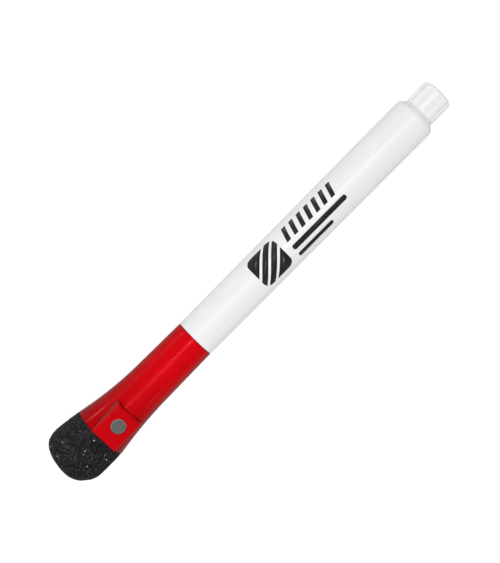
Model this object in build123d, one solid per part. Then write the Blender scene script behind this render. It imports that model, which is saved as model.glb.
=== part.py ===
from build123d import *
from math import radians, tan
import os

# Whiteboard marker lying along X, eraser end at -X, magnet face up (+Z), in millimetres.
# The origin is under the middle of its length, on the surface that it lies on.
# Stations along the marker are measured from the eraser's tip.

LENGTH = 135.0

# Stations
RIM = 13.5
MOUTH = 47.5
MOUTH_GAP = 0.1
BARREL_FRONT = MOUTH + MOUTH_GAP
BARREL_BACK = 127.1

# Cap shell
CAP_LENGTH = MOUTH - RIM
MOUTH_R = 5.45
CAP_DRAFT = 0.015
FLARE_LENGTH = 18.5
FLARE_RISE = 1.62
FLARE_POWER = 2.0
FLARE_DROP = 1.03
DROP_POWER = 1.4
CAP_SECTIONS = 15
RIM_EDGE = 0.3
MOUTH_EDGE = 0.2
CUP_R = 5.6
CUP_DEPTH = 4.5
CUP_DROP = 0.95
CROWN_WALL = 1.5
CAP_BORE_R = 4.48
CAP_BORE_LENGTH = 10.6
LINER_BORE_R = 4.2
MOUTH_LEAD = 0.25

# Magnet block and magnet
BLOCK_WIDTH = 7.7
BLOCK_LENGTH = 9.5
BLOCK_DRAFT = 11.0
BLOCK_TOP = 6.8
BLOCK_CORNER = 0.7
BLOCK_EDGE = 0.6
MAGNET_R = 2.0
MAGNET_THICK = 1.45
MAGNET_FROM_RIM = 5.4
MAGNET_EDGE = 0.22
POCKET_PLAY = 0.03

# Eraser
ERASER_R = 7.98
ERASER_BASE_R = 7.5
ERASER_WIDEST = 7.2
ERASER_SHOULDER = 1.6
ERASER_SHOULDER_R = 5.75
ERASER_BASE_SLOPE = 0.18
ERASER_LEAN = 3.7
ERASER_OVERLAP = 0.6
ERASER_DROP = 1.0
STEM_R = 5.5
GLUE_THICK = 0.5
GLUE_MARGIN = 0.3

# Inner cap, the soft thimble that seals on the nose
LINER_R = 4.17
LINER_LENGTH = 17.1
LINER_FLOOR = 1.0
LINER_INNER_R = 3.25
SEAL_R = 3.45
SEAL_LENGTH = 3.4
SEAL_SLOPE = 0.4
SEAL_LEAD = 0.2

# Barrel
BARREL_FRONT_R = 5.45
BARREL_BACK_R = 5.77
BARREL_BORE_R = 4.6
BARREL_ROUND = 1.5
BARREL_END_R = 5.0
SEAT_R = 4.92
SEAT_DEPTH = 0.8
RIB_COUNT = 6
RIB_HEIGHT = 0.35
RIB_WIDTH = 0.6
RIB_CLEARANCE = 0.5

# Nib holder
NECK_R = 4.40
NECK_LENGTH = 10.0
NECK_CHAMFER = 0.4
NOSE_BASE_R = 3.40
NOSE_TIP_R = 2.95
NOSE_SEAL = 3.4
NOSE_LENGTH = 6.0
SKIRT_LENGTH = 8.0
FLANGE_R = 4.90
SNAP_RISE = 0.06
SNAP_R = 0.3
SNAP_FROM_FLANGE = 2.5
NIB_BORE_R = 2.24
VENT_COUNT = 3
VENT_R = 0.3

# Nib
NIB_R = 2.2
NIB_OUT = 4.0
NIB_LENGTH = 30.0
NIB_TAIL = 3.0
NIB_TAIL_R = 1.2

# Reservoir
CORE_R = 3.95
CORE_LENGTH = 61.2
CORE_AFTER_SKIRT = 1.0
WRAP_GAP = 0.02
WRAP_THICK = 0.15

# End plug
COLLAR_LENGTH = 0.5
SPIGOT_R = 4.40
PLUG_ROUND = 1.0
ROOT_GROOVE_R = 4.15
ROOT_GROOVE_WIDTH = 0.5
PLUG_SKIRT = 8.0
PLUG_INNER_R = 3.3
PLUG_END_WALL = 1.4
PLUG_LEAD = 0.4
DIMPLE_R = 2.6
DIMPLE_DEPTH = 0.4
FLUTE_COUNT = 10
FLUTE_WIDTH = 1.42
FLUTE_DEPTH = 0.28
FLUTE_PHASE = -2.5
FLUTE_END = 134.1

# Height of the marker's axis over the surface that it lies on
AXIS_Z = ERASER_R + ERASER_DROP


def at(station):
    """X of a station along the marker."""
    return station - LENGTH / 2


def turned(*points):
    """Solid of revolution about the marker's axis from (station, radius) points."""
    outline = Polyline(*[(at(s), r) for s, r in points], close=True)
    return Pos(0, 0, AXIS_Z) * revolve(make_face(outline), Axis.X)


def rod(start, end, radius, z=0.0):
    """Cylinder along the marker, its own axis z above the marker's axis."""
    middle = Pos(at((start + end) / 2), 0, AXIS_Z + z)
    return middle * Rot(0, 90, 0) * Cylinder(radius, end - start)


def round_about_axis(shape, count, phase=0.0):
    """Copies of a shape, evenly spaced round the marker's axis, the first one turned by phase degrees."""
    centre = Pos(0, 0, AXIS_Z)
    angles = [phase + 360.0 * i / count for i in range(count)]
    return [centre * Rot(angle, 0, 0) * centre.inverse() * shape for angle in angles]


def cap_radius(from_rim):
    """Outer radius of the cap: a straight draft plus the concave flare towards the rim."""
    flare = max(0.0, 1 - from_rim / FLARE_LENGTH) ** FLARE_POWER
    return MOUTH_R + CAP_DRAFT * (CAP_LENGTH - from_rim) + FLARE_RISE * flare


def cap_drop(from_rim):
    """How far a section of the flare is centred below the axis, away from the magnet."""
    return FLARE_DROP * max(0.0, 1 - from_rim / FLARE_LENGTH) ** DROP_POWER


def cap_section(from_rim):
    """Outer circle of the cap at a distance from its rim."""
    centre = Vector(at(RIM + from_rim), 0, AXIS_Z - cap_drop(from_rim))
    plane = Plane(origin=centre, x_dir=(0, 1, 0), z_dir=(1, 0, 0))
    return plane * Circle(cap_radius(from_rim))


def cap_outside():
    """Flare and drafted sleeve of the cap, solid, with its end edges rounded."""
    step = CAP_LENGTH / (CAP_SECTIONS - 1)
    outside = loft([cap_section(i * step) for i in range(CAP_SECTIONS)])
    outside = fillet(outside.edges().group_by(Axis.X)[0], RIM_EDGE)
    return fillet(outside.edges().group_by(Axis.X)[-1], MOUTH_EDGE)


def magnet_block():
    """Boss with drafted walls, flush with the rim, whose flat face carries the magnet."""
    depth = BLOCK_TOP - CUP_R / 2
    spread = depth * tan(radians(BLOCK_DRAFT))
    face = Pos(at(RIM + BLOCK_LENGTH / 2), 0, AXIS_Z + BLOCK_TOP) * Rectangle(BLOCK_LENGTH, BLOCK_WIDTH)
    foot_length = BLOCK_LENGTH + spread
    foot_middle = Pos(at(RIM + foot_length / 2), 0, AXIS_Z + BLOCK_TOP - depth)
    foot = foot_middle * Rectangle(foot_length, BLOCK_WIDTH + 2 * spread)
    block = loft([foot, face], ruled=True)
    rear_corners = block.edges().group_by(Axis.Z)[1].group_by(Axis.X)[-1]
    block = fillet(rear_corners, BLOCK_CORNER)
    top_edges = block.faces().sort_by(Axis.Z)[-1].edges()
    return fillet(top_edges, BLOCK_EDGE)


def magnet_disc(radius, thickness):
    """Disc let into the block's face."""
    middle = Pos(at(RIM + MAGNET_FROM_RIM), 0, AXIS_Z + BLOCK_TOP - thickness / 2)
    return middle * Cylinder(radius, thickness)


def cap_shell():
    """Cap with its eraser cup, stepped bore and magnet pocket."""
    crown = RIM + CUP_DEPTH + CROWN_WALL
    cup = rod(RIM - 1, RIM + CUP_DEPTH, CUP_R, z=-CUP_DROP)
    liner_bore = rod(crown, MOUTH, LINER_BORE_R)
    bore = turned(
        (MOUTH - CAP_BORE_LENGTH, 0),
        (MOUTH - CAP_BORE_LENGTH, CAP_BORE_R),
        (MOUTH - MOUTH_LEAD, CAP_BORE_R),
        (MOUTH, CAP_BORE_R + MOUTH_LEAD),
        (MOUTH + 1, CAP_BORE_R + MOUTH_LEAD),
        (MOUTH + 1, 0),
    )
    pocket = magnet_disc(MAGNET_R + POCKET_PLAY, MAGNET_THICK)
    return cap_outside() + magnet_block() - cup - liner_bore - bore - pocket


def inner_cap():
    """Soft thimble at the bottom of the cap's bore."""
    floor = RIM + CUP_DEPTH + CROWN_WALL
    mouth = floor + LINER_LENGTH
    return turned(
        (floor, 0),
        (floor, LINER_R),
        (mouth, LINER_R),
        (mouth, SEAL_R + SEAL_LEAD),
        (mouth - SEAL_SLOPE, SEAL_R),
        (mouth - SEAL_LENGTH, SEAL_R),
        (mouth - SEAL_LENGTH - SEAL_SLOPE, LINER_INNER_R),
        (floor + LINER_FLOOR, LINER_INNER_R),
        (floor + LINER_FLOOR, 0),
    )


def magnet():
    """Disc magnet with bevelled edges."""
    disc = magnet_disc(MAGNET_R, MAGNET_THICK)
    return chamfer(disc.edges().filter_by(GeomType.CIRCLE), MAGNET_EDGE)


def eraser_pad():
    """Domed foam pad, leaning a little to one side, with a stem that fills the cap's cup."""
    tip = (at(0), 0)
    shoulder = (at(ERASER_SHOULDER), ERASER_SHOULDER_R)
    widest = (at(ERASER_WIDEST), ERASER_R)
    base = (at(RIM), ERASER_BASE_R)
    dome = Spline(tip, shoulder, widest, tangents=[(0, 1), (1, 0)])
    waist = Spline(widest, base, tangents=[(1, 0), (1, -ERASER_BASE_SLOPE)])
    buried = RIM + ERASER_OVERLAP
    inside = Polyline(base, (at(buried), ERASER_BASE_R), (at(buried), 0), tip)
    pad = revolve(make_face(dome + waist + inside), Axis.X)
    foot = Pos(at(RIM), 0, 0)
    pad = Pos(0, 0, AXIS_Z - ERASER_DROP) * foot * Rot(0, 0, -ERASER_LEAN) * foot.inverse() * pad
    pad = split(pad, Plane(origin=(at(RIM), 0, 0), z_dir=(-1, 0, 0)))
    stem = rod(RIM, RIM + CUP_DEPTH - GLUE_THICK, STEM_R, z=-CUP_DROP)
    return pad + stem


def eraser_glue():
    """Hot-melt disc that holds the eraser's stem to the cup's floor."""
    floor = RIM + CUP_DEPTH
    return rod(floor - GLUE_THICK, floor, STEM_R - GLUE_MARGIN, z=-CUP_DROP)


def barrel():
    """Drafted tube, rounded at the back, with a seat in front and ribs inside."""
    straight = BARREL_BACK - BARREL_ROUND
    front = (at(BARREL_FRONT), BARREL_FRONT_R)
    shoulder = (at(straight), BARREL_BACK_R)
    back = (at(BARREL_BACK), BARREL_END_R)
    side = Line(front, shoulder)
    rounding = TangentArc(shoulder, back, tangent=side % 1)
    inside = Polyline(
        back,
        (at(BARREL_BACK), BARREL_BORE_R),
        (at(BARREL_FRONT + SEAT_DEPTH), BARREL_BORE_R),
        (at(BARREL_FRONT + SEAT_DEPTH), SEAT_R),
        (at(BARREL_FRONT), SEAT_R),
        front,
    )
    tube = Pos(0, 0, AXIS_Z) * revolve(make_face(side + rounding + inside), Axis.X)
    rib_start = BARREL_FRONT + SEAT_DEPTH + SKIRT_LENGTH + RIB_CLEARANCE
    rib_end = BARREL_BACK - PLUG_SKIRT - RIB_CLEARANCE
    rib_middle = Pos(at((rib_start + rib_end) / 2), 0, AXIS_Z + BARREL_BORE_R)
    rib = rib_middle * Box(rib_end - rib_start, RIB_WIDTH, 2 * RIB_HEIGHT)
    return tube + round_about_axis(rib, RIB_COUNT)


def nib_holder():
    """Moulded front section: nose, neck, flange and the skirt inside the barrel."""
    flange_back = BARREL_FRONT + SEAT_DEPTH
    neck_front = BARREL_FRONT - NECK_LENGTH
    nose_front = neck_front - NOSE_LENGTH
    body = turned(
        (nose_front, 0),
        (nose_front, NOSE_TIP_R),
        (neck_front - NOSE_SEAL, NOSE_BASE_R),
        (neck_front, NOSE_BASE_R),
        (neck_front, NECK_R - NECK_CHAMFER),
        (neck_front + NECK_CHAMFER, NECK_R),
        (BARREL_FRONT, NECK_R),
        (BARREL_FRONT, FLANGE_R),
        (flange_back, FLANGE_R),
        (flange_back, BARREL_BORE_R),
        (flange_back + SKIRT_LENGTH - NECK_CHAMFER, BARREL_BORE_R),
        (flange_back + SKIRT_LENGTH, BARREL_BORE_R - NECK_CHAMFER),
        (flange_back + SKIRT_LENGTH, 0),
    )
    bore = rod(nose_front - 1, flange_back + SKIRT_LENGTH + 1, NIB_BORE_R)
    vent = rod(nose_front - 1, flange_back + SKIRT_LENGTH + 1, VENT_R, z=NIB_BORE_R)
    snap_middle = Pos(at(BARREL_FRONT - SNAP_FROM_FLANGE), 0, AXIS_Z)
    snap = snap_middle * Rot(0, 90, 0) * Torus(NECK_R - SNAP_R + SNAP_RISE, SNAP_R)
    return body + snap - bore - round_about_axis(vent, VENT_COUNT)


def nib():
    """Bullet-tipped fibre rod with a tapered tail."""
    tip = BARREL_FRONT - NECK_LENGTH - NOSE_LENGTH - NIB_OUT
    tail = tip + NIB_LENGTH
    nose = Spline((at(tip), 0), (at(tip + NIB_R), NIB_R), tangents=[(0, 1), (1, 0)])
    outline = Polyline(
        (at(tip + NIB_R), NIB_R),
        (at(tail - NIB_TAIL), NIB_R),
        (at(tail), NIB_TAIL_R),
        (at(tail), 0),
        (at(tip), 0),
    )
    return Pos(0, 0, AXIS_Z) * revolve(make_face(nose + outline), Axis.X)


def core_start():
    """Station of the reservoir's front face."""
    return BARREL_FRONT + SEAT_DEPTH + SKIRT_LENGTH + CORE_AFTER_SKIRT


def reservoir_core():
    """Fibre bundle, with the hole that the nib's tail is pushed into."""
    return rod(core_start(), core_start() + CORE_LENGTH, CORE_R) - nib()


def reservoir_wrap():
    """Film sleeve round the fibre bundle."""
    inner = CORE_R + WRAP_GAP
    start, end = core_start(), core_start() + CORE_LENGTH
    return rod(start, end, inner + WRAP_THICK) - rod(start - 1, end + 1, inner)


def end_plug():
    """Plug with a skirt in the barrel, a conical collar and a fluted spigot."""
    groove = BARREL_BACK + COLLAR_LENGTH
    spigot = groove + ROOT_GROOVE_WIDTH
    skirt_start = BARREL_BACK - PLUG_SKIRT
    body = turned(
        (skirt_start, PLUG_INNER_R),
        (skirt_start, BARREL_BORE_R - PLUG_LEAD),
        (skirt_start + PLUG_LEAD, BARREL_BORE_R),
        (BARREL_BACK, BARREL_BORE_R),
        (BARREL_BACK, BARREL_END_R),
        (groove, SPIGOT_R),
        (groove, ROOT_GROOVE_R),
        (spigot, ROOT_GROOVE_R),
        (spigot, SPIGOT_R),
        (LENGTH, SPIGOT_R),
        (LENGTH, DIMPLE_R),
        (LENGTH - DIMPLE_DEPTH, DIMPLE_R),
        (LENGTH - DIMPLE_DEPTH, 0),
        (LENGTH - DIMPLE_DEPTH - PLUG_END_WALL, 0),
        (LENGTH - DIMPLE_DEPTH - PLUG_END_WALL, PLUG_INNER_R),
    )
    end_edge = body.edges().filter_by(GeomType.CIRCLE).group_by(Axis.X)[-1].sort_by(SortBy.RADIUS)[-1]
    body = fillet(end_edge, PLUG_ROUND)
    flute_middle = Pos(at((groove + FLUTE_END) / 2), 0, AXIS_Z + SPIGOT_R)
    flute = flute_middle * Box(FLUTE_END - groove, FLUTE_WIDTH, 2 * FLUTE_DEPTH)
    return body - round_about_axis(flute, FLUTE_COUNT, FLUTE_PHASE)


NODES = {
    "cap_shell": cap_shell,
    "inner_cap": inner_cap,
    "magnet": magnet,
    "eraser_pad": eraser_pad,
    "eraser_glue": eraser_glue,
    "barrel": barrel,
    "nib_holder": nib_holder,
    "nib": nib,
    "reservoir_core": reservoir_core,
    "reservoir_wrap": reservoir_wrap,
    "end_plug": end_plug,
}

os.makedirs("parts", exist_ok=True)
for node, make in NODES.items():
    export_step(make(), f"parts/{node}.step")
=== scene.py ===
"""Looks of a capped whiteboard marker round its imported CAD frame.

Metres. X runs along the marker from the eraser to the plug, and the magnet faces +Z.
"""
import math

import bmesh
import bpy
from mathutils import Matrix, Vector, noise


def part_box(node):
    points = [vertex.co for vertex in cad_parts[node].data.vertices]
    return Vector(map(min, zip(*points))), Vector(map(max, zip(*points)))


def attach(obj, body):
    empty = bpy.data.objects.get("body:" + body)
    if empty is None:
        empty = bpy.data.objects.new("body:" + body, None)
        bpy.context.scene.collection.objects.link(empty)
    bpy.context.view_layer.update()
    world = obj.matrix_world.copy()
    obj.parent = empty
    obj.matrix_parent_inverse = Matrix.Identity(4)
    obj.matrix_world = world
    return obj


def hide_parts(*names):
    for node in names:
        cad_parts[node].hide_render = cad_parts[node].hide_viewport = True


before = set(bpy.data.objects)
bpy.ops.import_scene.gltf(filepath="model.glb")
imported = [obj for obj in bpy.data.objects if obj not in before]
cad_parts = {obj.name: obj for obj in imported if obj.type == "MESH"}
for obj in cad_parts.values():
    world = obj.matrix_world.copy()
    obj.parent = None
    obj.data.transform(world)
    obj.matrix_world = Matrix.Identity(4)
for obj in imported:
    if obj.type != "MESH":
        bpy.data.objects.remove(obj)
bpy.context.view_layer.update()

MM = 0.001
SCENE = bpy.context.scene
COLLECTION = SCENE.collection

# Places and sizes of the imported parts
RIM_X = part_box("cap_shell")[0].x
BOSS_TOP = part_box("cap_shell")[1].z
MAGNET_LOW, MAGNET_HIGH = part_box("magnet")
BARREL_LOW, BARREL_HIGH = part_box("barrel")
AXIS_Z = (BARREL_LOW.z + BARREL_HIGH.z) / 2
BARREL_BACK_R = (BARREL_HIGH.z - BARREL_LOW.z) / 2
BARREL_TAPER = 0.32 * MM
BARREL_FRONT_R = BARREL_BACK_R - BARREL_TAPER
BARREL_ROUND = 1.5 * MM
SPIGOT_R = 4.4 * MM
ERASER_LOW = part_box("eraser_pad")[0]
TIP_X = -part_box("end_plug")[1].x

# Camera
LEAN = math.radians(16.2)
ROLL = math.radians(45.26)
DISTANCE = 0.350
AIM_X = 0.00004
AIM_UP = 0.00031
LENS = 88.4
SENSOR = 36.0

# Room and floor: how bright they are to the eye, to rough surfaces and in reflections
ROOM_SEEN = 1.0
ROOM_LIGHT = 0.60
ROOM_TOP_GLOSS = 0.10
ROOM_SIDE_GLOSS = 0.50
ROOM_TOP_FROM = 0.5
FLOOR_SEEN = 0.87
FLOOR_GLOW = 0.62
FLOOR_GLOSS = 0.20

# Floor: half its side, where the eraser touches it behind its tip, and the gap under the foam
FLOOR_REACH = 4.0
FLOOR_TOUCH = 7.2 * MM
FLOOR_GAP = 0.05 * MM

# Broad light: its distance, side, power and turn in degrees towards the eraser
BROAD_DISTANCE = 1.1
BROAD_SIDE = 0.9
BROAD_POWER = 7.7
BROAD_TURN = 18

# Highlight lights: name, direction along, across and towards the camera, two sides, power
HIGHLIGHT_DISTANCE = 0.9
HIGHLIGHTS = (
    ("soft", (0, 0.02, 1), (0.60, 0.19), 0.32),
    ("strip", (0.125, 0.06, 1), (0.275, 0.07), 1.80),
    ("spark", (-0.075, 0.09, 1), (0.022, 0.014), 0.02),
    ("side", (-0.025, 1, 0.32), (0.042, 0.06), 0.10),
    ("rim", (0.63, 0.77, 0.32), (0.1, 0.1), 1.6),
    ("edge", (-0.19, 1, 0.32), (0.06, 0.06), 0.08),
    ("edge_below", (-0.19, -1, 0.32), (0.06, 0.06), 0.08),
)

TOWARDS_CAMERA = Vector((0, math.sin(LEAN), math.cos(LEAN)))
ACROSS = Vector((0, math.cos(LEAN), -math.sin(LEAN)))
ALONG = Vector((1, 0, 0))


# ---------------------------------------------------------------- node helpers


def new_material(name, roughness, ior=1.49, specular=0.5, metallic=0.0):
    """Material with a Principled shader whose plain values are set on its own sockets."""
    mat = bpy.data.materials.new(name)
    mat.use_nodes = True
    shader = mat.node_tree.nodes["Principled BSDF"]
    shader.inputs["Roughness"].default_value = roughness
    shader.inputs["IOR"].default_value = ior
    shader.inputs["Specular IOR Level"].default_value = specular
    shader.inputs["Metallic"].default_value = metallic
    return mat, mat.node_tree, shader


def add(tree, kind, **values):
    """Node of a kind. Values name its sockets, with _ for a space, or its own settings."""
    made = tree.nodes.new("ShaderNode" + kind)
    for key, value in values.items():
        socket = made.inputs.get(key.replace("_", " "))
        if socket is None:
            setattr(made, key, value)
        elif isinstance(value, bpy.types.NodeSocket):
            tree.links.new(value, socket)
        else:
            socket.default_value = value
    return made


def place(tree, stretch=(1, 1, 1)):
    """The piece's own coordinates in metres, stretched along its axes."""
    coordinates = add(tree, "TexCoord")
    mapping = add(tree, "Mapping", Vector=coordinates.outputs["Object"])
    mapping.inputs["Scale"].default_value = stretch
    return mapping.outputs["Vector"]


def grain(tree, where, size, detail=3.0, roughness=0.55):
    """Noise whose features are about size metres across."""
    made = add(tree, "TexNoise", Vector=where, Scale=1 / size, Detail=detail, Roughness=roughness)
    return made.outputs["Fac"]


def spread(tree, value, low, high, start=0.3, end=0.7):
    """A value between start and end, spread over low to high."""
    made = add(tree, "MapRange", Value=value, From_Min=start, From_Max=end, To_Min=low, To_Max=high)
    return made.outputs["Result"]


def combine(tree, operation, first, second):
    """Result of a Math operation on two values."""
    made = add(tree, "Math", operation=operation)
    tree.links.new(first, made.inputs[0])
    tree.links.new(second, made.inputs[1])
    return made.outputs[0]


def between(tree, share, first, second):
    """A value that goes from first to second as share goes from 0 to 1."""
    return add(tree, "Mix", Factor=share, A=first, B=second).outputs["Result"]


def counted_from(tree, centre):
    """The piece's own coordinates in metres, counted from a centre."""
    shifted = add(tree, "VectorMath", operation="SUBTRACT", Vector=place(tree))
    shifted.inputs[1].default_value = centre
    return shifted.outputs["Vector"]


def length_along(tree, vector, axes):
    """Length of a vector along the axes that are marked 1."""
    flat = add(tree, "VectorMath", operation="MULTIPLY", Vector=vector)
    flat.inputs[1].default_value = axes
    length = add(tree, "VectorMath", operation="LENGTH", Vector=flat.outputs["Vector"])
    return length.outputs["Value"]


def tint(tree, value, *stops):
    """Colour ramp of (position, colour) stops."""
    ramp = add(tree, "ValToRGB", Fac=value)
    elements = ramp.color_ramp.elements
    while len(elements) < len(stops):
        elements.new(0.5)
    for element, (position, colour) in zip(elements, stops):
        element.position = position
        element.color = (*colour, 1)
    return ramp.outputs["Color"]


def mix_into_base(tree, shader, share, colour, blend="MIX"):
    """Mixes a colour, or a socket that gives one, into what feeds the base colour."""
    base = shader.inputs["Base Color"]
    mixed = add(tree, "Mix", data_type="RGBA", blend_type=blend, Factor=share)
    first, second = (socket for socket in mixed.inputs if socket.type == "RGBA")
    result = next(socket for socket in mixed.outputs if socket.type == "RGBA")
    tree.links.new(base.links[0].from_socket, first)
    if isinstance(colour, bpy.types.NodeSocket):
        tree.links.new(colour, second)
    else:
        second.default_value = (*colour, 1)
    tree.links.new(result, base)


def relief(tree, shader, *layers):
    """Bump from (height, strength, depth in metres) layers, one on another."""
    below = None
    for height, strength, depth in layers:
        bump = add(tree, "Bump", Height=height, Strength=strength, Distance=depth)
        if below is not None:
            tree.links.new(below, bump.inputs["Normal"])
        below = bump.outputs["Normal"]
    tree.links.new(below, shader.inputs["Normal"])


# ---------------------------------------------------------------- materials

# Cap: share of its full red left by painted shade over the eraser cup and on the boss's face, with
# where each begins and ends behind the rim or below the boss's top; the boss's walls keep full red
# as painted light
CUP_PAINTED_SHADE = 0.66
CUP_SHADE_FROM = 1 * MM
CUP_SHADE_TO = 24 * MM
BOSS_FACE_PAINTED_SHADE = 0.84
BOSS_END = 10.0 * MM
BOSS_FOOT_LOW = 1.6 * MM
BOSS_FOOT_HIGH = 1.3 * MM
BOSS_EDGE_LOW = 0.5 * MM
BOSS_EDGE_HIGH = 0.1 * MM
BOSS_FADE = 0.1 * MM

# Plug: share of its white left by painted shade inside its lands, from the flutes' floors up to the
# lands
FLUTE_PAINTED_SHADE = 0.93
FLUTE_FLOOR = 0.20 * MM
FLUTE_LAND = 0.05 * MM

# Magnet: scale of its turned rings, and its bevel painted lighter as a reflection, from the edge
# inwards
RING_SCALE = 900.0
BEVEL_OUTER = 0.20 * MM
BEVEL_INNER = 0.24 * MM
BEVEL_PAINTED_REFLECTION = (0.80, 0.83, 0.83)

# Foam's pale flecks, painted glints of its cell walls: cell size, share of the cells without one,
# colour
PAINTED_GLINT_FLECKS = (
    (0.50 * MM, 0.55, (0.22, 0.22, 0.25)),
    (0.85 * MM, 0.86, (0.95, 0.95, 1.0)),
)


def moulded(name, pale, deep, roughness, scuff, specular=0.5):
    """Injection-moulded plastic: faint mottling, orange peel and rub marks along the marker."""
    mat, tree, shader = new_material(name, roughness, specular=specular)
    cloud = grain(tree, place(tree), 6 * MM, detail=4.0)
    tree.links.new(tint(tree, cloud, (0.35, deep), (0.65, pale)), shader.inputs["Base Color"])
    rub = grain(tree, place(tree, (0.12, 1, 1)), 0.35 * MM, detail=5.0, roughness=0.7)
    tree.links.new(spread(tree, rub, roughness, roughness + scuff), shader.inputs["Roughness"])
    peel = grain(tree, place(tree), 1.1 * MM, detail=2.0)
    relief(tree, shader, (peel, 0.12, 0.02 * MM), (rub, 0.05, 0.005 * MM))
    return mat, tree, shader


def cap_red():
    """Dyed clear red, with painted shade darker over the eraser cup, painted light keeping full red
    on the boss's walls, and between on its face.
    """
    pale, deep = (1.0, 0.0026, 0.008), (0.96, 0.0022, 0.007)
    mat, tree, shader = moulded("cap_red", pale, deep, 0.11, 0.05)
    shader.inputs["Specular IOR Level"].default_value = 0.8
    shader.inputs["Specular Tint"].default_value = (1.0, 0.13, 0.16, 1)
    shader.inputs["Coat Weight"].default_value = 1.0
    shader.inputs["Coat IOR"].default_value = 1.10
    shader.inputs["Coat Tint"].default_value = (0.66, 0.66, 0.66, 1)
    part = add(tree, "SeparateXYZ", Vector=place(tree))
    x, z = part.outputs["X"], part.outputs["Z"]
    # painted shade: darker red over the eraser cup, fading out towards the mouth
    cup = spread(tree, x, CUP_PAINTED_SHADE, 1.0, RIM_X + CUP_SHADE_FROM, RIM_X + CUP_SHADE_TO)
    # painted light: the boss's walls keep full red, its face a little less
    raised = spread(tree, z, 0.0, 1.0, BOSS_TOP - BOSS_FOOT_LOW, BOSS_TOP - BOSS_FOOT_HIGH)
    boss_end = RIM_X + BOSS_END
    before = spread(tree, x, 1.0, 0.0, boss_end - BOSS_FADE, boss_end + BOSS_FADE)
    face = spread(tree, z, 1.0, BOSS_FACE_PAINTED_SHADE, BOSS_TOP - BOSS_EDGE_LOW, BOSS_TOP - BOSS_EDGE_HIGH)
    boss = combine(tree, "MULTIPLY", combine(tree, "MULTIPLY", raised, before), face)
    mix_into_base(tree, shader, 1.0, combine(tree, "MAXIMUM", cup, boss), "MULTIPLY")
    return mat


def set_sheen(shader, weight):
    """Soft pale bloom of the white plastics at glancing angles."""
    shader.inputs["Sheen Weight"].default_value = weight
    shader.inputs["Sheen Roughness"].default_value = 0.6


def barrel_white():
    """Cool white plastic with a low gloss."""
    pale, deep = (0.812, 0.816, 0.830), (0.795, 0.801, 0.817)
    mat, _, shader = moulded("barrel_white", pale, deep, 0.22, 0.08, specular=0.15)
    set_sheen(shader, 0.35)
    return mat


def plug_white():
    """Natural plastic, with painted shade a little darker in its flutes and root groove and on its
    end face.
    """
    pale, deep = (0.865, 0.865, 0.865), (0.84, 0.84, 0.84)
    mat, tree, shader = moulded("plug_white", pale, deep, 0.32, 0.12, specular=0.15)
    set_sheen(shader, 0.6)
    reach = length_along(tree, counted_from(tree, (0, 0, AXIS_Z)), (0, 1, 1))
    floor, land = SPIGOT_R - FLUTE_FLOOR, SPIGOT_R - FLUTE_LAND
    # painted shade inside the lands' radius: flutes, root groove and end face
    mix_into_base(tree, shader, 1.0, spread(tree, reach, FLUTE_PAINTED_SHADE, 1.0, floor, land), "MULTIPLY")
    return mat


def holder_white():
    """White plastic of the front section."""
    mat, _, _ = moulded("holder_white", (0.85, 0.855, 0.86), (0.80, 0.805, 0.82), 0.18, 0.10)
    return mat


def soft_liner():
    """Milky soft plastic of the inner cap."""
    mat, _, shader = moulded("soft_liner", (0.78, 0.78, 0.76), (0.70, 0.70, 0.68), 0.40, 0.15)
    shader.inputs["Subsurface Weight"].default_value = 0.5
    shader.inputs["Subsurface Scale"].default_value = 1.0 * MM
    return mat


def magnet_grey():
    """Plated disc with turned marks, small nicks and a painted reflection that makes its bevel
    brighter.
    """
    mat, tree, shader = new_material("magnet_grey", 0.42, metallic=0.85)
    from_centre = counted_from(tree, (MAGNET_LOW + MAGNET_HIGH) / 2)
    rings = add(tree, "TexWave", wave_type="RINGS", rings_direction="Z", Vector=from_centre)
    rings.inputs["Scale"].default_value = RING_SCALE
    rings.inputs["Distortion"].default_value = 1.5
    rings.inputs["Detail"].default_value = 2.0
    speckle = grain(tree, place(tree), 0.22 * MM, detail=4.0, roughness=0.7)
    colour = tint(tree, speckle, (0.35, (0.24, 0.24, 0.245)), (0.7, (0.40, 0.40, 0.40)))
    tree.links.new(colour, shader.inputs["Base Color"])
    radius = (MAGNET_HIGH.x - MAGNET_LOW.x) / 2
    reach = length_along(tree, from_centre, (1, 1, 0))
    # painted reflection: the bevel's ring painted lighter
    bevel = spread(tree, reach, 0.0, 1.0, radius - BEVEL_INNER, radius - BEVEL_OUTER)
    mix_into_base(tree, shader, bevel, BEVEL_PAINTED_REFLECTION)
    tree.links.new(spread(tree, speckle, 0.36, 0.55), shader.inputs["Roughness"])
    relief(tree, shader, (rings.outputs["Fac"], 0.15, 0.01 * MM), (speckle, 0.35, 0.02 * MM))
    return mat


def foam_black():
    """Black foam: painted shade darkening its pores between matte cell walls, with pale flecks
    painted as glints.
    """
    mat, tree, shader = new_material("foam_black", 0.80, specular=0.30)
    where = place(tree)
    mottle_and_pore_shade = grain(tree, where, 0.55 * MM, detail=5.0, roughness=0.72)
    # painted shade: darker where the bump sinks into pores
    base = tint(
        tree,
        mottle_and_pore_shade,
        (0.36, (0.0012, 0.0014, 0.0016)),
        (0.50, (0.0070, 0.0075, 0.0085)),
        (0.64, (0.042, 0.043, 0.048)),
    )
    tree.links.new(base, shader.inputs["Base Color"])
    # painted glints: pale flecks in the base colour
    for cell, rarest, colour in PAINTED_GLINT_FLECKS:
        mix_into_base(tree, shader, flecks(tree, where, cell, rarest), colour)
    fine = grain(tree, where, 0.14 * MM, detail=4.0, roughness=0.7)
    tree.links.new(spread(tree, fine, 0.65, 0.95), shader.inputs["Roughness"])
    relief(tree, shader, (mottle_and_pore_shade, 0.8, 0.16 * MM), (fine, 0.6, 0.05 * MM))
    return mat


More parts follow.
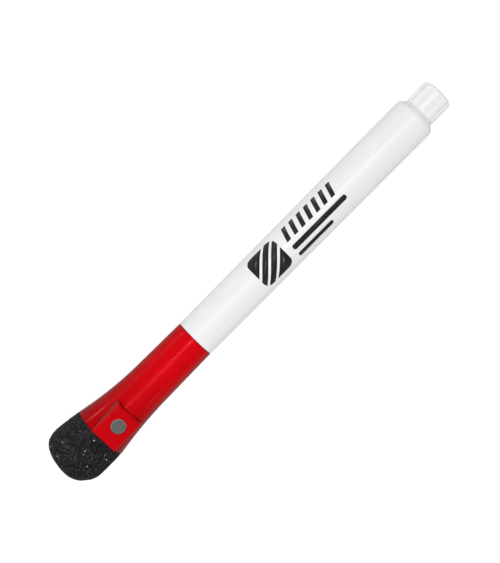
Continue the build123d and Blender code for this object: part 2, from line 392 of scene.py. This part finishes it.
def flecks(tree, where, cell, rarest):
    """Small painted glints at the middles of the cells whose own random number passes rarest."""
    cells = add(tree, "TexVoronoi", Vector=where, Scale=1 / cell)
    picked = add(tree, "SeparateColor", Color=cells.outputs["Color"])
    chosen = spread(tree, picked.outputs[0], 0.0, 1.0, rarest, 1.0)
    spot = spread(tree, cells.outputs["Distance"], 1.0, 0.0, 0.08, 0.24)
    return combine(tree, "MULTIPLY", chosen, spot)


def printed_ink():
    """Screen-printed black ink of slightly uneven cover and gloss."""
    mat, tree, shader = new_material("printed_ink", 0.30)
    cover = grain(tree, place(tree), 0.5 * MM, detail=4.0, roughness=0.65)
    colour = tint(tree, cover, (0.3, (0.010, 0.010, 0.010)), (0.75, (0.020, 0.020, 0.021)))
    tree.links.new(colour, shader.inputs["Base Color"])
    tree.links.new(spread(tree, cover, 0.24, 0.42), shader.inputs["Roughness"])
    relief(tree, shader, (cover, 0.10, 0.01 * MM))
    return mat


def fibre(name, pale, deep):
    """Bundle of fibres along X, soaked in ink."""
    mat, tree, shader = new_material(name, 0.75, specular=0.4)
    strands = grain(tree, place(tree, (0.06, 1, 1)), 0.12 * MM, detail=5.0, roughness=0.7)
    colour = tint(tree, strands, (0.3, deep), (0.7, pale))
    tree.links.new(colour, shader.inputs["Base Color"])
    tree.links.new(spread(tree, strands, 0.63, 0.85), shader.inputs["Roughness"])
    relief(tree, shader, (strands, 0.7, 0.05 * MM))
    return mat


def clear_film():
    """Half-clear film round the fibre bundle."""
    mat, _, shader = moulded("clear_film", (0.90, 0.90, 0.90), (0.84, 0.85, 0.86), 0.10, 0.1)
    shader.inputs["Alpha"].default_value = 0.5
    return mat


def hot_melt():
    """Yellowish adhesive under the eraser's stem."""
    mat, _, _ = moulded("hot_melt", (0.74, 0.68, 0.50), (0.62, 0.56, 0.40), 0.35, 0.15)
    return mat


NODE_MATERIALS = {
    "cap_shell": cap_red,
    "inner_cap": soft_liner,
    "magnet": magnet_grey,
    "eraser_glue": hot_melt,
    "barrel": barrel_white,
    "nib_holder": holder_white,
    "nib": lambda: fibre("nib_fibre", (0.46, 0.012, 0.018), (0.20, 0.004, 0.008)),
    "reservoir_core": lambda: fibre("reservoir_fibre", (0.50, 0.03, 0.04), (0.30, 0.01, 0.02)),
    "reservoir_wrap": clear_film,
    "end_plug": plug_white,
}


def dress_cad_nodes():
    """Gives each carried-over CAD node its finished material."""
    for node, make in NODE_MATERIALS.items():
        mat = make()
        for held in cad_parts[node].material_slots:
            held.material = mat


# ---------------------------------------------------------------- eraser

# Millimetres from the pad's tip. Its solid:
ERASER_LENGTH = 13.5
ERASER_R = 8.0
ERASER_BASE_R = 7.5
DOME_LENGTH = 6.5
DOME_POWER = 2.3
STEM_R = 5.45
STEM_LENGTH = 3.95
PAD_DROP = 1.0
STEM_DROP = 0.95

# Its lean to +Y: at its foot, and the side it gains over a run towards its tip
FOOT_LEAN = 0.06
LEAN_GAIN = 0.68
LEAN_RUN = 10.5

# How its tip slants back
TIP_CUT = 1.35
TIP_CUT_LENGTH = 3.0
TIP_SIDE = 1.0
TIP_SLANT = 0.02
TIP_ROUND = 0.05

# Mesh of the foam
RING_POINTS = 400
RING_GAP = 0.13
DOME_RINGS = 70
STEM_RINGS = 8
FOOT_RING_R = 6.6

# Relief of the foam
PORE_SIZE = 0.62
PORE_DEPTH = 0.15
PORE_WIDTH = 0.42
PORE_POWER = 1.5
LUMP_SIZE = 4.5
LUMP_HEIGHT = 0.08
ROUGH_SIZE = 0.8
ROUGH_HEIGHT = 0.06
ROUGH_FALL = 1.0
ROUGH_STEP = 2.1
ROUGH_LAYERS = 3
FADE_LENGTH = 0.8
TIP_FACING = 1.6
TIP_FACING_POWER = 1.3


def pad_radius(s):
    """Radius of the pad at s from its tip."""
    if s < DOME_LENGTH:
        return ERASER_R * (1 - (1 - s / DOME_LENGTH) ** DOME_POWER) ** (1 / DOME_POWER)
    past = (s - DOME_LENGTH) / (ERASER_LENGTH - DOME_LENGTH)
    return ERASER_R - (ERASER_R - ERASER_BASE_R) * past**2


def pad_side_shift(s):
    """How far the pad's section leans to +Y at s: more towards the tip, which is cut back."""
    lean = FOOT_LEAN + LEAN_GAIN * (ERASER_LENGTH - s) / LEAN_RUN
    return lean - TIP_CUT * max(0.0, 1 - s / TIP_CUT_LENGTH) ** 2


def pad_profile():
    """(s, radius) stations from the tip to the stem's end, RING_GAP apart along the side."""
    stations = []
    for i in range(1, DOME_RINGS + 1):
        s = DOME_LENGTH * (1 - math.cos(0.5 * math.pi * i / DOME_RINGS))
        stations.append((s, pad_radius(s)))
    side = round((ERASER_LENGTH - DOME_LENGTH) / RING_GAP)
    for i in range(1, side + 1):
        s = DOME_LENGTH + (ERASER_LENGTH - DOME_LENGTH) * i / side
        stations.append((s, pad_radius(s)))
    stations += [(ERASER_LENGTH, FOOT_RING_R), (ERASER_LENGTH, STEM_R)]
    for i in range(1, STEM_RINGS + 1):
        stations.append((ERASER_LENGTH + STEM_LENGTH * i / STEM_RINGS, STEM_R))
    return stations


def foam_relief(p):
    """Height of the foam's surface at a point."""
    lump = LUMP_HEIGHT * noise.noise(p / LUMP_SIZE)
    rough = ROUGH_HEIGHT * noise.fractal(p / ROUGH_SIZE, ROUGH_FALL, ROUGH_STEP, ROUGH_LAYERS)
    nearest = noise.voronoi(p / PORE_SIZE)[0][0]
    pore = max(0.0, 1 - nearest / PORE_WIDTH) ** PORE_POWER
    return lump + rough - PORE_DEPTH * pore


def foam_point(s, radius, turn):
    """Point of the pad's skin: slanted at the tip, and rough where the foam is open."""
    out = Vector((0, math.cos(turn), math.sin(turn)))
    shift, drop = (pad_side_shift(s), PAD_DROP) if s <= ERASER_LENGTH else (0.0, STEM_DROP)
    p = Vector((s, shift, -drop)) + out * radius
    near_tip = max(0.0, 1 - s / DOME_LENGTH)
    beside = p.y + TIP_SIDE
    p.x += max(TIP_SLANT * beside, -TIP_ROUND * beside) * near_tip
    if s < ERASER_LENGTH:
        facing = out + Vector((-TIP_FACING, 0, 0)) * near_tip**TIP_FACING_POWER
        fade = min(1.0, (ERASER_LENGTH - s) / FADE_LENGTH)
        p += facing.normalized() * foam_relief(p) * fade
    return p


def make_eraser():
    """The foam pad as one closed dense mesh, with its smooth stem."""
    mesh = bmesh.new()
    rings = []
    for s, radius in pad_profile():
        turns = (2 * math.pi * k / RING_POINTS for k in range(RING_POINTS))
        rings.append([mesh.verts.new(foam_point(s, radius, turn)) for turn in turns])
    tip = mesh.verts.new((0.0, pad_side_shift(0.0), -PAD_DROP))
    for k in range(RING_POINTS):
        following = (k + 1) % RING_POINTS
        mesh.faces.new((tip, rings[0][following], rings[0][k]))
        for inner, outer in zip(rings, rings[1:]):
            mesh.faces.new((inner[k], inner[following], outer[following], outer[k]))
    mesh.faces.new(rings[-1])
    place_in_frame = Matrix.Translation((TIP_X, 0, AXIS_Z)) @ Matrix.Scale(MM, 4)
    return add_piece("eraser_foam", mesh, foam_black(), "cap", place_in_frame)


def add_piece(name, mesh, mat, body, transform=None):
    """Turns a bmesh into a smooth-shaded piece that rides on a body."""
    if transform is not None:
        bmesh.ops.transform(mesh, matrix=transform, verts=mesh.verts)
    bmesh.ops.recalc_face_normals(mesh, faces=mesh.faces)
    data = bpy.data.meshes.new(name)
    mesh.to_mesh(data)
    mesh.free()
    data.polygons.foreach_set("use_smooth", [True] * len(data.polygons))
    data.materials.append(mat)
    piece = bpy.data.objects.new(name, data)
    COLLECTION.objects.link(piece)
    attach(piece, body)
    return piece


# ---------------------------------------------------------------- printed mark

# Millimetres: along from the eraser's tip, and round the barrel from its side under the camera

# Ink, and the strips that the print is cut into
INK_THICK = 0.02
INK_LIFT = 0.008
CUT_GAP = 0.35

# Striped square
MARK_CENTRE = 74.2
MARK_SIZE = 9.4
MARK_CORNER = 2.0
STRIPE_GAP = 0.7
STRIPE_OFFSETS = (-2.2, 0.0, 2.2)

# Row of leaning bars
BAR_COUNT = 7
BAR_START = 81.0
BAR_PITCH = 2.6
BAR_LOW = 0.5
BAR_HIGH = 4.4
BAR_WIDTH = 1.3
BAR_SLANT = 1.2

# Rules under the bars: right end, low and high edge, corner
RULES = ((99.6, -2.3, -0.9, 0.6), (93.0, -4.7, -3.5, 0.5))


def rounded_box(left, right, low, high, corner, points=8):
    """Outline of a rounded rectangle, as flat points."""
    outline = []
    corners = ((right, high, 0), (left, high, 90), (left, low, 180), (right, low, 270))
    for x, y, start in corners:
        cx = x - math.copysign(corner, x - (left + right) / 2)
        cy = y - math.copysign(corner, y - (low + high) / 2)
        for i in range(points + 1):
            angle = math.radians(start + 90 * i / points)
            outline.append((cx + corner * math.cos(angle), cy + corner * math.sin(angle)))
    return outline


def slanted_bar(left, low, high, width, slant):
    """Outline of a leaning bar."""
    return [(left, low), (left + width, low), (left + width + slant, high), (left + slant, high)]


def wrap_on_barrel(p):
    """Point p, flat in millimetres (station, arc, height), on the barrel's tapered side."""
    x = TIP_X + p.x * MM
    share = (x - BARREL_LOW.x) / (BARREL_HIGH.x - BARREL_ROUND - BARREL_LOW.x)
    radius = BARREL_FRONT_R + (BARREL_BACK_R - BARREL_FRONT_R) * share
    turn = p.y * MM / radius
    outward = math.cos(turn) * TOWARDS_CAMERA + math.sin(turn) * ACROSS
    return Vector((x, 0, AXIS_Z)) + (radius + p.z * MM) * outward


def make_print():
    """Generic printed mark: a striped rounded square, then leaning bars over two rules."""
    mesh = bmesh.new()
    half = MARK_SIZE / 2
    outlines = [rounded_box(MARK_CENTRE - half, MARK_CENTRE + half, -half, half, MARK_CORNER)]
    for i in range(BAR_COUNT):
        left = BAR_START + BAR_PITCH * i
        outlines.append(slanted_bar(left, BAR_LOW, BAR_HIGH, BAR_WIDTH, BAR_SLANT))
    for right, low, high, corner in RULES:
        outlines.append(rounded_box(BAR_START, right, low, high, corner))
    for outline in outlines:
        mesh.faces.new([mesh.verts.new((x, y, INK_LIFT)) for x, y in outline])
    cut_white_lines(mesh)
    cut_into_strips(mesh)
    thicken(mesh, INK_THICK)
    for v in mesh.verts:
        v.co = wrap_on_barrel(v.co)
    return add_piece("barrel_print", mesh, printed_ink(), "pen")


def faces_of_square(mesh):
    """Faces of the striped square, which ends before the bars start."""
    return [f for f in mesh.faces if f.calc_center_median().x < MARK_CENTRE + MARK_SIZE / 2]


def cut_white_lines(mesh):
    """Slanting white lines cut through the square."""
    centre = Vector((MARK_CENTRE, 0, 0))
    across = Vector((1, -1, 0)).normalized()
    for offset in STRIPE_OFFSETS:
        for side in (-1, 1):
            on_cut = centre + across * (offset + side * STRIPE_GAP / 2)
            square = faces_of_square(mesh)
            parts = set(square)
            for f in square:
                parts.update(f.edges, f.verts)
            bmesh.ops.bisect_plane(mesh, geom=list(parts), plane_co=on_cut, plane_no=across)
        line = []
        for f in faces_of_square(mesh):
            away = (f.calc_center_median() - centre).dot(across) - offset
            if abs(away) < STRIPE_GAP / 2:
                line.append(f)
        bmesh.ops.delete(mesh, geom=line, context="FACES")


def cut_into_strips(mesh):
    """Cuts the flat print into strips along the barrel, so that it can bend round it."""
    limit = int(MARK_SIZE / CUT_GAP) + 1
    for i in range(-limit, limit + 1):
        everything = mesh.verts[:] + mesh.edges[:] + mesh.faces[:]
        cut = (0, i * CUT_GAP, 0)
        bmesh.ops.bisect_plane(mesh, geom=everything, plane_co=cut, plane_no=(0, 1, 0))


def thicken(mesh, height):
    """Makes flat faces into closed slabs of a height."""
    made = bmesh.ops.extrude_face_region(mesh, geom=mesh.faces[:], use_keep_orig=True)
    raised = [v for v in made["geom"] if isinstance(v, bmesh.types.BMVert)]
    bmesh.ops.translate(mesh, vec=(0, 0, height), verts=raised)


# ---------------------------------------------------------------- stage


def lit(name, location, aim, sides, power):
    """Rectangular soft light aimed at a point."""
    data = bpy.data.lights.new(name, "AREA")
    data.shape = "RECTANGLE"
    data.size, data.size_y = sides
    data.energy = power
    lamp = bpy.data.objects.new(name, data)
    lamp.location = location
    lamp.rotation_mode = "QUATERNION"
    lamp.rotation_quaternion = (Vector(aim) - Vector(location)).to_track_quat("-Z", "Y")
    COLLECTION.objects.link(lamp)
    return lamp


def make_lights():
    """One broad soft light that isn't reflected, and small ones that are only reflected."""
    middle = Vector((0, 0, AXIS_Z))
    turn = math.radians(BROAD_TURN)
    towards = TOWARDS_CAMERA * math.cos(turn) - ALONG * math.sin(turn)
    sides = (BROAD_SIDE, BROAD_SIDE)
    broad = lit("broad", middle + towards * BROAD_DISTANCE, middle, sides, BROAD_POWER)
    broad.visible_glossy = False
    for name, (along, across, over), sides, power in HIGHLIGHTS:
        towards = (ALONG * along + ACROSS * across + TOWARDS_CAMERA * over).normalized()
        lamp = lit(name, middle + towards * HIGHLIGHT_DISTANCE, middle, sides, power)
        lamp.visible_diffuse = False


def make_world():
    """Pale room: white to the eye, dimmer for rough surfaces, dimmest in reflections overhead."""
    world = bpy.data.worlds.new("studio")
    world.use_nodes = True
    tree = world.node_tree
    rays = add(tree, "LightPath")
    coordinates = add(tree, "TexCoord")
    part = add(tree, "SeparateXYZ", Vector=coordinates.outputs["Generated"])
    height = part.outputs["Z"]
    mirrored = spread(tree, height, ROOM_SIDE_GLOSS, ROOM_TOP_GLOSS, 0.0, ROOM_TOP_FROM)
    unseen = between(tree, rays.outputs["Is Glossy Ray"], ROOM_LIGHT, mirrored)
    strength = between(tree, rays.outputs["Is Camera Ray"], unseen, ROOM_SEEN)
    background = tree.nodes["Background"]
    background.inputs["Color"].default_value = (1.0, 1.0, 1.0, 1)
    tree.links.new(strength, background.inputs["Strength"])
    SCENE.world = world


def floor_paint():
    """Plain pale sheet, bright to the eye and dimmer in what it throws back."""
    mat, tree, shader = new_material("pale_floor", 0.8, specular=0.0)
    rays = add(tree, "LightPath")
    texture = grain(tree, place(tree), 20 * MM)
    sheet = tint(tree, texture, (0.3, (0.197, 0.197, 0.197)), (0.7, (0.203, 0.203, 0.203)))
    tree.links.new(sheet, shader.inputs["Base Color"])
    shader.inputs["Emission Color"].default_value = (1, 1, 1, 1)
    unseen = between(tree, rays.outputs["Is Glossy Ray"], FLOOR_GLOW, FLOOR_GLOSS)
    strength = between(tree, rays.outputs["Is Camera Ray"], unseen, FLOOR_SEEN)
    tree.links.new(strength, shader.inputs["Emission Strength"])
    return mat


def make_floor():
    """Surface that touches the marker under its eraser and under the barrel's back end."""
    front = Vector((ERASER_LOW.x + FLOOR_TOUCH, 0, ERASER_LOW.z - FLOOR_GAP))
    back = Vector((BARREL_HIGH.x - BARREL_ROUND, 0, BARREL_LOW.z))
    slope = math.atan2(back.z - front.z, back.x - front.x)
    reach = FLOOR_REACH
    corners = [(-reach, -reach, 0), (reach, -reach, 0), (reach, reach, 0), (-reach, reach, 0)]
    mesh = bpy.data.meshes.new("floor")
    mesh.from_pydata(corners, [], [(0, 1, 2, 3)])
    mesh.materials.append(floor_paint())
    floor = bpy.data.objects.new("floor", mesh)
    floor.matrix_world = Matrix.Translation(front) @ Matrix.Rotation(-slope, 4, "Y")
    COLLECTION.objects.link(floor)


def make_camera():
    """Camera over the marker's middle, leaned and rolled so that the marker lies diagonally."""
    right = ALONG * math.cos(ROLL) - ACROSS * math.sin(ROLL)
    up = ALONG * math.sin(ROLL) + ACROSS * math.cos(ROLL)
    data = bpy.data.cameras.new("camera")
    data.sensor_fit = "AUTO"
    data.sensor_width = SENSOR
    data.lens = LENS
    data.clip_start = 0.01
    data.clip_end = 20.0
    camera = bpy.data.objects.new("camera", data)
    aim = Vector((AIM_X, 0, AXIS_Z)) + ACROSS * AIM_UP
    turn = Matrix((right, up, TOWARDS_CAMERA)).transposed().to_4x4()
    camera.matrix_world = Matrix.Translation(aim + TOWARDS_CAMERA * DISTANCE) @ turn
    COLLECTION.objects.link(camera)
    SCENE.camera = camera


# ---------------------------------------------------------------- build

dress_cad_nodes()
eraser = make_eraser()
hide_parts("eraser_pad")
make_print()
make_floor()
make_lights()
make_world()
make_camera()
SCENE.view_settings.view_transform = "Standard"
SCENE.view_settings.look = "None"
